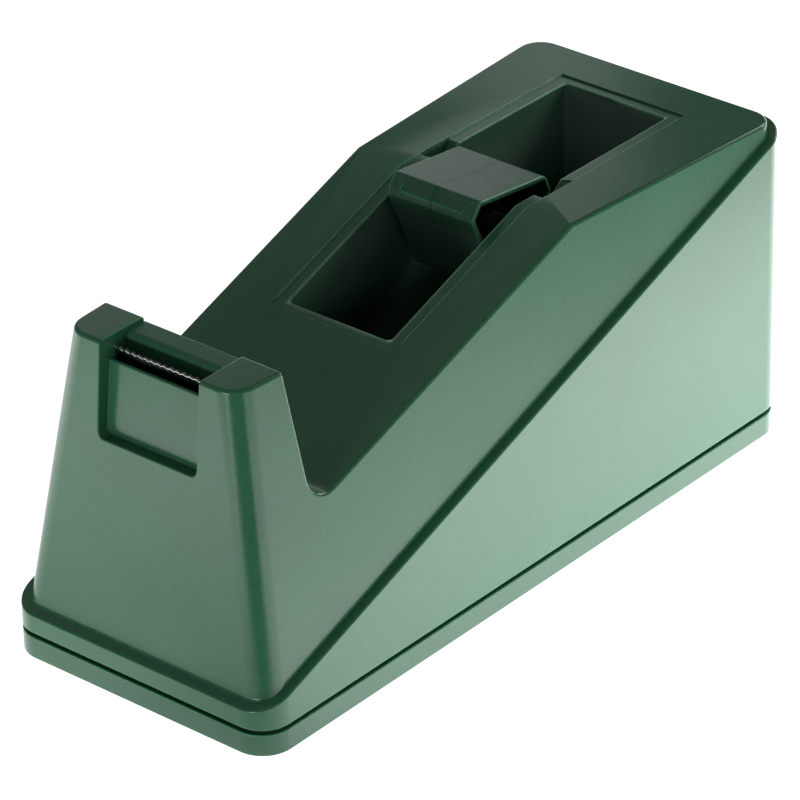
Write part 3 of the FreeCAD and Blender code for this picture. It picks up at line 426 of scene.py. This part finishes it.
# the part's own measures, by which its edges are told apart; a change here doesn't change the shape
housingShape = {
    "length": 154.2,
    "halfWidth": 31.35,
    "footTop": 6.5,
    "ledgeFront": 10.0,  # height of the ledge at the two ends
    "ledgeRear": 66.5,
    "ledgeSide": 29.7,  # side of the upper body where it leaves the ledge
    "draft": 0.1715,  # how much that side leans in
    "frontFoot": -74.8,
    "frontLean": 0.0884,
    "earInside": 11.65,
    "pocketFloor": 49.5,
    "towerBack": -57.0,
    "slopeStart": -20.9,
    "slopeLevel": 54.1,
    "slopeRise": 0.3565,
    "flatLevel": 67.6,
    "wellHalf": 12.2,
    "wellWall": 13.75,
    "wellFront": -19.0,
    "wellRear": 63.2,
    "borderHalf": 15.2,
}
hollowShape = {
    "footHalf": 31.0,
    "footEnd": 76.9,
    "towerFront": -74.0,
    "towerRear": -57.9,
    "towerTop": 66.6,
    "towerSide": 11.8,
    "towerWall": 1.2,
    "pocketUnder": 47.9,
    "wall": 1.0,
    "rearStart": 65.4,
    "rearEnd": 75.2,
    "rearTop": 66.0,
}
edgePlaces = {
    "slack": 0.2,  # how far off its place an edge may lie
    "looseSlack": 0.3,
    "floorSlack": 0.5,
    "earSlack": 0.03,
    "rootSlack": 0.7,
    "rootSide": 28.8,
    "rootFront": -74.3,
    "rootRear": 75.3,
    "rootCorner": (24, 69),
    "lipFront": -20,
    "lipLow": 54,
    "borderFront": -22,
    "borderLow": 53,
    "earRear": -56,
    "pocketRear": -66,
    "wellDepth": 1.5,
}
housingLook = {
    "root": 0.5,  # hollow rounding where the upper body leaves the ledge
    "foot": 0.22,
    "lip": 0.22,  # inner lip of the roll well
    "wellCorner": 1.1,
    "rim": 0.16,
    "pocket": 0.3,  # round the pocket's mouth and the ears' inner edges
    "edge": 0.14,
    "wellWalls": {
        "side": 12.5,
        "sideFade": 0.4,
        "front": -19.6,
        "rear": 63.8,
        "top": 66.3,
        "fade": 0.6,
        "roughness": 0.35,  # on top of the plastic's own
        "film": 0.20,  # pale film on the walls, partly dust and partly a painted veil of reflected light
        "filmBelow": 0.01,
        "filmRise": (42, 59),  # heights
        "filmTop": 0.40,  # how much of the film is left near the top
        "filmFall": (58, 65),
        "rearFilm": 0.22,  # more of it on the rear wall
        "rearFacing": (0.3, 0.8),
        # painted shade towards the bottom of the well, and the heights where it starts and is whole
        "shade": 0.8,
        "shadeFall": (50, 42),
    },
    # painted highlight along the well's lip and the sunk border's outer edge
    "lipHighlight": {
        "colour": (0.38, 0.74, 0.54),
        "scale": 300,
        "least": 0.45,  # highlight where the noise is low
        "cover": (0.25, 0.6),
        "left": 0.42,  # the painted highlight is weaker on the left edges
        "sides": (-1, 1),
        "border": 14.78,
        "borderHighlight": 0.6,
        # places where the painted highlight is whole and where it has gone
        "borderWidth": (0.1, 0.2),
        "lip": (12.42, 12.54),
        "depth": (-0.8, -1.0),
        "front": (-19.0, -19.6),
        "rear": (63.2, 63.6),
    },
}
shellGreen = mouldedPlastic("shellGreen", plasticLook,
                            well=housingLook["wellWalls"], lip=housingLook["lipHighlight"])
shellEdge = mouldedPlastic("shellEdge", {**plasticLook, **edgeWearAndHighlight}, lip=housingLook["lipHighlight"])


def ledgeLevel(y):
    shape = housingShape
    rise = (shape["ledgeRear"] - shape["ledgeFront"]) / shape["length"]
    return shape["ledgeFront"] + rise * (y + shape["length"] / 2)


def deckLevel(y):
    shape = housingShape
    return min(shape["flatLevel"], shape["slopeLevel"] + (y - shape["slopeStart"]) * shape["slopeRise"])


def isHidden(edge, middle):
    # inside the hollow shell, or round its open underside
    shape, hollow = housingShape, hollowShape
    x, y, z = abs(middle.x), middle.y, middle.z
    if z < shape["footTop"]:
        return x < hollow["footHalf"] and abs(y) < hollow["footEnd"]
    above = z - ledgeLevel(y)
    outside = shape["halfWidth"] if above < 0 else shape["ledgeSide"] - above * shape["draft"]
    if y < shape["towerBack"]:
        inTower = hollow["towerFront"] < y < hollow["towerRear"] and z < hollow["towerTop"]
        besidePocket = hollow["towerSide"] < x < outside - hollow["towerWall"]
        return inTower and (besidePocket or z < hollow["pocketUnder"])
    beside = shape["wellWall"] < x < outside - hollow["wall"] and z < deckLevel(y) - hollow["wall"]
    return beside or hollow["rearStart"] < y < hollow["rearEnd"] and z < hollow["rearTop"]


def isLedgeRoot(edge, middle):
    places = edgePlaces
    x, y = abs(middle.x), middle.y
    atCorner = x > places["rootCorner"][0] and abs(y) > places["rootCorner"][1]
    onOutline = x > places["rootSide"] or y < places["rootFront"] or y > places["rootRear"] or atCorner
    return not edge.is_convex and abs(middle.z - ledgeLevel(y)) < places["rootSlack"] and onOutline


def isFoot(edge, middle):
    return middle.z < housingShape["footTop"]


def besideWell(middle):
    # how far outside the well's side wall
    return abs(middle.x) - housingShape["wellHalf"]


def isWellLip(edge, middle):
    places = edgePlaces
    onWell = besideWell(middle) < places["slack"] and middle.y > places["lipFront"]
    return edge.is_convex and onWell and middle.z > places["lipLow"]


def isWellCorner(edge, middle):
    places = edgePlaces
    toEnd = min(abs(middle.y - housingShape[end]) for end in ("wellFront", "wellRear"))
    atCorner = toEnd < places["looseSlack"] and abs(besideWell(middle)) < places["slack"]
    return not edge.is_convex and atCorner and abs(directionOf(edge).z) > straight


def isRim(edge, middle):
    places = edgePlaces
    onBorder = besideWell(middle) > places["slack"] and abs(middle.x) < housingShape["borderHalf"]
    return onBorder and middle.y > places["borderFront"] and middle.z > places["borderLow"]


def isPocketMouth(edge, middle):
    # all round the pocket and over the top of both ears
    shape, places = housingShape, edgePlaces
    front = shape["frontFoot"] + shape["frontLean"] * (middle.z - shape["ledgeFront"])
    inFront = abs(middle.y - front) < places["slack"] and abs(middle.x) < shape["earInside"] + places["slack"]
    onEar = middle.y < places["earRear"] and all(
        abs(abs(vertex.co.x / mm) - shape["earInside"]) < places["earSlack"] for vertex in edge.verts)
    return edge.is_convex and middle.z > shape["pocketFloor"] - places["looseSlack"] and (inFront or onEar)


def staysPlain(middle):
    # the panel in the pocket, and the corners down inside the well
    shape, places = housingShape, edgePlaces
    alongWell = shape["wellFront"] - places["slack"] < middle.y < shape["wellRear"] + places["slack"]
    inWell = alongWell and middle.z < deckLevel(middle.y) - places["wellDepth"]
    inPocket = middle.y < places["pocketRear"] and middle.z > shape["pocketFloor"] - places["floorSlack"]
    return besideWell(middle) < places["slack"] and (inWell or inPocket)


housing = copyOfNode("housing", "housingShell", shellGreen, shellEdge)
roundEdges(housing, [
    (isHidden, 0.0),
    (isLedgeRoot, housingLook["root"]),
    (isFoot, housingLook["foot"]),
    (isWellCorner, housingLook["wellCorner"]),
    (isWellLip, housingLook["lip"]),
    (isRim, housingLook["rim"]),
    (isPocketMouth, housingLook["pocket"]),
    (isAny, housingLook["edge"]),
], keepsFinish=staysPlain)
smoothFaces(housing)
finishPiece(housing, "stand", "housing")
print("housing ready,", len(housing.data.polygons), "faces")


trayLook = {
    "dark": (0.0215, 0.114, 0.0555),
    "light": (0.0265, 0.128, 0.066),
    "grain": 0.003,
    "edge": 0.25,
    "sharpest": 40,  # degrees, flatter edges stay as they are
    "swell": 0.62,  # how much the rim stands higher on the right side
    "swellMiddle": -29.0,
    "swellReach": 9.0,
    "slices": 13,
    "side": 28.5,
    "rimSide": 28.9,
    "rimLow": 5.0,
    "rimHigh": 5.4,
}


def swellRim(piece, look):
    # cut the right side into slices, then lift the rim's outer edge in a smooth swell
    for i in range(look["slices"]):
        y = look["swellMiddle"] + look["swellReach"] * (2 * i / (look["slices"] - 1) - 1)
        mesh = startEdit(piece)
        for face in mesh.faces:
            face.select_set(all(vertex.co.x > look["side"] * mm for vertex in face.verts))
        bmesh.update_edit_mesh(piece.data)
        bpy.ops.mesh.bisect(plane_co=(0, y * mm, 0), plane_no=(0, 1, 0))
    mesh = startEdit(piece)
    for vertex in mesh.verts:
        x, y, z = vertex.co / mm
        reach = abs(y - look["swellMiddle"]) / look["swellReach"]
        if x > look["rimSide"] and look["rimLow"] < z < look["rimHigh"] and reach < 1:
            vertex.co.z += look["swell"] * mm * (0.5 + 0.5 * math.cos(math.pi * reach))
    endEdit(piece)


trayGreen = mouldedPlastic("trayGreen", {**plasticLook, **trayLook})
trayEdge = mouldedPlastic("trayEdge", {**plasticLook, **edgeWearAndHighlight})
tray = copyOfNode("base_tray", "baseTray", trayGreen, trayEdge)
swellRim(tray, trayLook)
roundEdges(tray, [(isAny, trayLook["edge"])], sharpest=trayLook["sharpest"])
smoothFaces(tray)
finishPiece(tray, "stand", "base_tray")
print("tray ready,", len(tray.data.polygons), "faces")


padLook = {
    "roughness": 0.33,
    "edge": 0.12,
    "crestWidth": 0.32,
    "crestFrom": -58.6,  # the crest along the pad's rear
    "crestAbove": 65.6,
}
# painted highlight: the pad's rounded edges and rear crest get a bright green
padEdgeLook = {"dark": (0.075, 0.36, 0.19), "light": (0.10, 0.44, 0.24), "roughness": 0.5, "dustAndVeil": 0.0}
bladeLook = {
    # the blade's steel is made dark, partly as painted shade for the gap beneath the teeth
    "dark": (0.20, 0.20, 0.21),
    "light": (0.26, 0.26, 0.27),
    "stainScale": 120,
    "lineScale": 2500,
    "stretch": (0.06, 1, 1),
    "line": 0.0003,
    "roughness": 0.14,
    "ground": 0.15,  # facets along the teeth
    "edge": 0.04,
    "toothRoot": 65.2,
    "forward": -0.8,  # Y of a direction that counts as forward
}


def isCrest(edge, middle):
    return edge.is_convex and middle.z > padLook["crestAbove"] and middle.y > padLook["crestFrom"]


def isToothEdge(edge, middle):
    # the ground side of the teeth faces forward
    foremost = min(face.normal.y for face in edge.link_faces)
    return middle.z > bladeLook["toothRoot"] and foremost < bladeLook["forward"]


padGreen = mouldedPlastic("padGreen", {**plasticLook, **padLook})
padEdge = mouldedPlastic("padEdge", {**plasticLook, **padEdgeLook})
tapePad = copyOfNode("cutter_block", "tapePad", padGreen, padEdge)
roundEdges(tapePad, [(isCrest, padLook["crestWidth"]), (isAny, padLook["edge"])])
smoothFaces(tapePad)
finishPiece(tapePad, "stand", "cutter_block")

bladeSteel = brushedSteel("bladeSteel", bladeLook)
groundSteel = brushedSteel("groundSteel", {
    "dark": (0.56, 0.56, 0.56), "light": (0.72, 0.72, 0.71), "stainScale": 900,
    "lineScale": 2500, "stretch": (1, 0.2, 0.2), "line": 0.0006, "roughness": 0.20,
})
blade = copyOfNode("cutter_blade", "toothedBlade", bladeSteel, groundSteel)
roundEdges(blade, [(isToothEdge, bladeLook["ground"]), (isAny, bladeLook["edge"])])
finishPiece(blade, "stand", "cutter_blade")
print("cutter ready")


hubLook = {
    "dark": (0.0180, 0.100, 0.048),
    "light": (0.0215, 0.115, 0.056),
    "mottle": 0.07,
    "roughness": 0.26,
    "smudge": 0.03,
    "smudgeScale": 260,
    "scuff": 0.0,
    "ripple": 0.012,
    "ior": 1.46,
    "axis": (18.25, 61.3),  # Y and Z
    # marks where a mask is whole and where it has gone
    "inward": (-1.5, -0.5),
    "open": (6.7, 7.0),  # from the axis
    "seam": (0.064, 0.16),
    "corner": (12.35, 12.0),
    "veilHeight": (62, 66),
    # painted shade inside the hub
    "insideShade": 0.9,
    "seamShade": 0.6,
    "specular": 0.5,
    "dullSpecular": 0.06,
    "cornerRoughness": 0.30,
    # pale veil low down: partly dust, partly painted reflected light
    "veil": 0.14,
    "edge": 0.12,
    "inner": 0.45,
    "rim": 0.4,  # outer edge at the two ends
    "rib": 0.2,
    "tubeReach": 4.2,
    "rimReach": 7.6,
    "rimSide": 10.2,
    "ribReach": 12.3,
    "seamSide": 0.05,
}


def hubReach(middle):
    return math.hypot(middle.y - hubLook["axis"][0], middle.z - hubLook["axis"][1])


def isRib(edge, middle):
    return hubReach(middle) > hubLook["ribReach"]


def isHollowCorner(edge, middle):
    along = abs(directionOf(edge).x) > straight
    return not edge.is_convex and along and hubReach(middle) > hubLook["tubeReach"]


def isSeam(edge, middle):
    return abs(middle.x) < hubLook["seamSide"]


def isHubRim(edge, middle):
    return edge.is_convex and abs(middle.x) > hubLook["rimSide"] and hubReach(middle) > hubLook["rimReach"]


hubGreen = mouldedPlastic("hubGreen", {**plasticLook, **hubLook}, hub=hubLook)
hubEdge = mouldedPlastic("hubEdge", {**plasticLook, **hubLook, **edgeWearAndHighlight}, hub=hubLook)
for side in ("left", "right"):
    half = copyOfNode("hub_" + side, "hub" + side.title(), hubGreen, hubEdge)
    roundEdges(half, [
        (isSeam, 0.0),
        (isHubRim, hubLook["rim"]),
        (isRib, hubLook["rib"]),
        (isHollowCorner, hubLook["inner"]),
        (isAny, hubLook["edge"]),
    ])
    smoothFaces(half)
    finishPiece(half, "hub", "hub_" + side)
print("hub ready")


# these parts keep their shape and only get their finishes
axleSteel = brushedSteel("axleSteel", {
    "dark": (0.30, 0.30, 0.31), "light": (0.46, 0.46, 0.47), "stainScale": 250,
    "lineScale": 1800, "stretch": (1, 0.1, 0.1), "line": 0.002, "roughness": 0.26,
})
screwSteel = brushedSteel("screwSteel", {
    "dark": (0.30, 0.29, 0.26), "light": (0.48, 0.47, 0.44), "stainScale": 500,
    "lineScale": 2200, "stretch": (1, 1, 0.2), "line": 0.003, "roughness": 0.32,
})
footRubber = grainySolid("footRubber", {
    "dark": (0.018, 0.018, 0.019), "light": (0.032, 0.032, 0.033), "metallic": 0.0,
    "grainScale": 1800, "patchScale": 400, "roughness": 0.72, "grain": 0.02,
})
ballastIron = grainySolid("ballastIron", {
    "dark": (0.055, 0.050, 0.047), "light": (0.12, 0.105, 0.095), "metallic": 0.6,
    "grainScale": 900, "patchScale": 160, "roughness": 0.62, "grain": 0.06,
})
padFoam = grainySolid("padFoam", {
    "dark": (0.030, 0.031, 0.033), "light": (0.055, 0.056, 0.058), "metallic": 0.0,
    "grainScale": 2600, "patchScale": 500, "roughness": 0.9, "grain": 0.08,
})
keptFinishes = {
    "axle": axleSteel,
    "foot_front_left": footRubber,
    "foot_front_right": footRubber,
    "foot_rear_left": footRubber,
    "foot_rear_right": footRubber,
    "base_screws": screwSteel,
    "ballast_left": ballastIron,
    "ballast_right": ballastIron,
    "ballast_pad_left": padFoam,
    "ballast_pad_right": padFoam,
}
for nodeName, material in keptFinishes.items():
    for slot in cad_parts[nodeName].material_slots:
        slot.material = material
print("pieces ready")


floorLook = {
    "half": 1.6,  # metres
    "cells": 40,
    "seen": 1.3,
    # a ramp is a direction, its start and end in metres, and the light at both
    "front": ((-0.55, -0.835, 0), 0.10, 0.18, 1.35, 2.1),
    "horizon": ((-0.55, -0.835, 0), 0.21, 0.33, 1.0, 0.12),
    "right": ((0.707, 0.707, 0), 0.12, 0.42, 2.3, 0.45),
    "onRight": ((1, 0, 0), 0.0, 0.06),
    # brighter pool beside the rear right foot
    "pool": (((1, 0, 0), 0.13, 0.07), ((0, 1, 0), -0.11, 0.14)),
    "poolLight": 1.9,
    # unlit wedge that opens from the front right corner
    "wedge": (((0.958, 0.287, 0), -0.045, 0.020), ((-0.2425, -0.970, 0), 0.037, 0.10)),
    "wedgeLight": 0.03,
    # dimmer patch behind on the left
    "behind": (((1, 0, 0), 0.01, -0.09), ((0, 1, 0), -0.09, -0.02)),
    "behindLoss": 0.35,
}
airLook = {
    "level": 0.11,
    # a glow's azimuth and elevation, the cosines of its edge and core, the heights where it is whole
    # and where it has gone, and its strength
    "glows": (
        (115, 0, 0.0, 0.70, 0.42, 0.70, 0.10),
        (-115, 50, 0.86, 1.0, 2.0, 3.0, 0.13),
    ),
    "colour": (0.97, 1.0, 0.98),
    "seen": 0.92,
}
# azimuth, elevation, distance in metres, size in metres and power in watts
softboxes = {
    "rearSoftbox": (164, 32, 1.2, (0.5, 0.7), 4.6),
    "leftSoftbox": (-132.8, 21.5, 0.39, (0.20, 0.25), 0.092),
    "frontSoftbox": (4, 3, 1.2, (0.5, 0.12), 3.2),
}


def makeFloor(look):
    bpy.ops.mesh.primitive_grid_add(x_subdivisions=look["cells"], y_subdivisions=look["cells"],
                                    size=2 * look["half"])
    floor = bpy.context.object
    floor.name = "studioFloor"
    finish = Finish("paleFloor")
    finish.nodes.remove(finish.shader)
    front = finish.product(finish.along(*look["front"]), finish.along(*look["horizon"]))
    onRight = finish.along(*look["onRight"])
    base = finish.math("ADD", finish.product(onRight, finish.along(*look["right"])),
                       finish.product(finish.math("SUBTRACT", 1.0, onRight), front))
    pool, wedge, behind = (finish.product(*(finish.along(*ramp) for ramp in look[patch]))
                           for patch in ("pool", "wedge", "behind"))
    bright = finish.math("ADD", base, finish.product(pool, look["poolLight"]))
    bright = finish.product(bright, finish.math("SUBTRACT", 1.0, wedge),
                            finish.math("SUBTRACT", 1.0, finish.product(behind, look["behindLoss"])))
    glow = finish.math("ADD", bright, finish.product(wedge, look["wedgeLight"]))
    lamp = finish.nodes.new("ShaderNodeEmission")
    finish.plug(lamp.inputs["Strength"], glow)
    plain = finish.nodes.new("ShaderNodeEmission")
    plain.inputs["Strength"].default_value = look["seen"]
    finish.showPlain(lamp, plain, finish.nodes["Material Output"])
    floor.data.materials.append(finish.material)


def makeAir(look):
    # dim all round, with soft glows where the studio's walls are lit
    world = bpy.data.worlds.new("studioAir")
    scene.world = world
    world.use_nodes = True
    air = Steps(world.node_tree, "Generated")
    strength = look["level"]
    for azimuth, elevation, edge, core, whole, gone, level in look["glows"]:
        glow = air.product(air.along(fromAround(azimuth, elevation), edge, core),
                           air.along((0, 0, 1), gone, whole), level)
        strength = air.math("ADD", glow, strength)
    lamp = air.nodes["Background"]
    air.plug(lamp.inputs["Color"], look["colour"])
    air.plug(lamp.inputs["Strength"], strength)
    plain = air.nodes.new("ShaderNodeBackground")
    plain.inputs["Strength"].default_value = look["seen"]
    air.showPlain(lamp, plain, air.nodes["World Output"])


def makeSoftbox(name, azimuth, elevation, distance, size, power):
    place = fromAround(azimuth, elevation) * distance
    bpy.ops.object.light_add(type="AREA", location=place)
    light = bpy.context.object
    light.name = name
    light.rotation_euler = place.to_track_quat("Z", "Y").to_euler()
    light.data.shape = "RECTANGLE"
    light.data.size, light.data.size_y = size
    light.data.energy = power
    light.visible_camera = False


makeFloor(floorLook)
makeAir(airLook)
for name, settings in softboxes.items():
    makeSoftbox(name, *settings)
scene.view_settings.view_transform = "Standard"
print("studio ready")
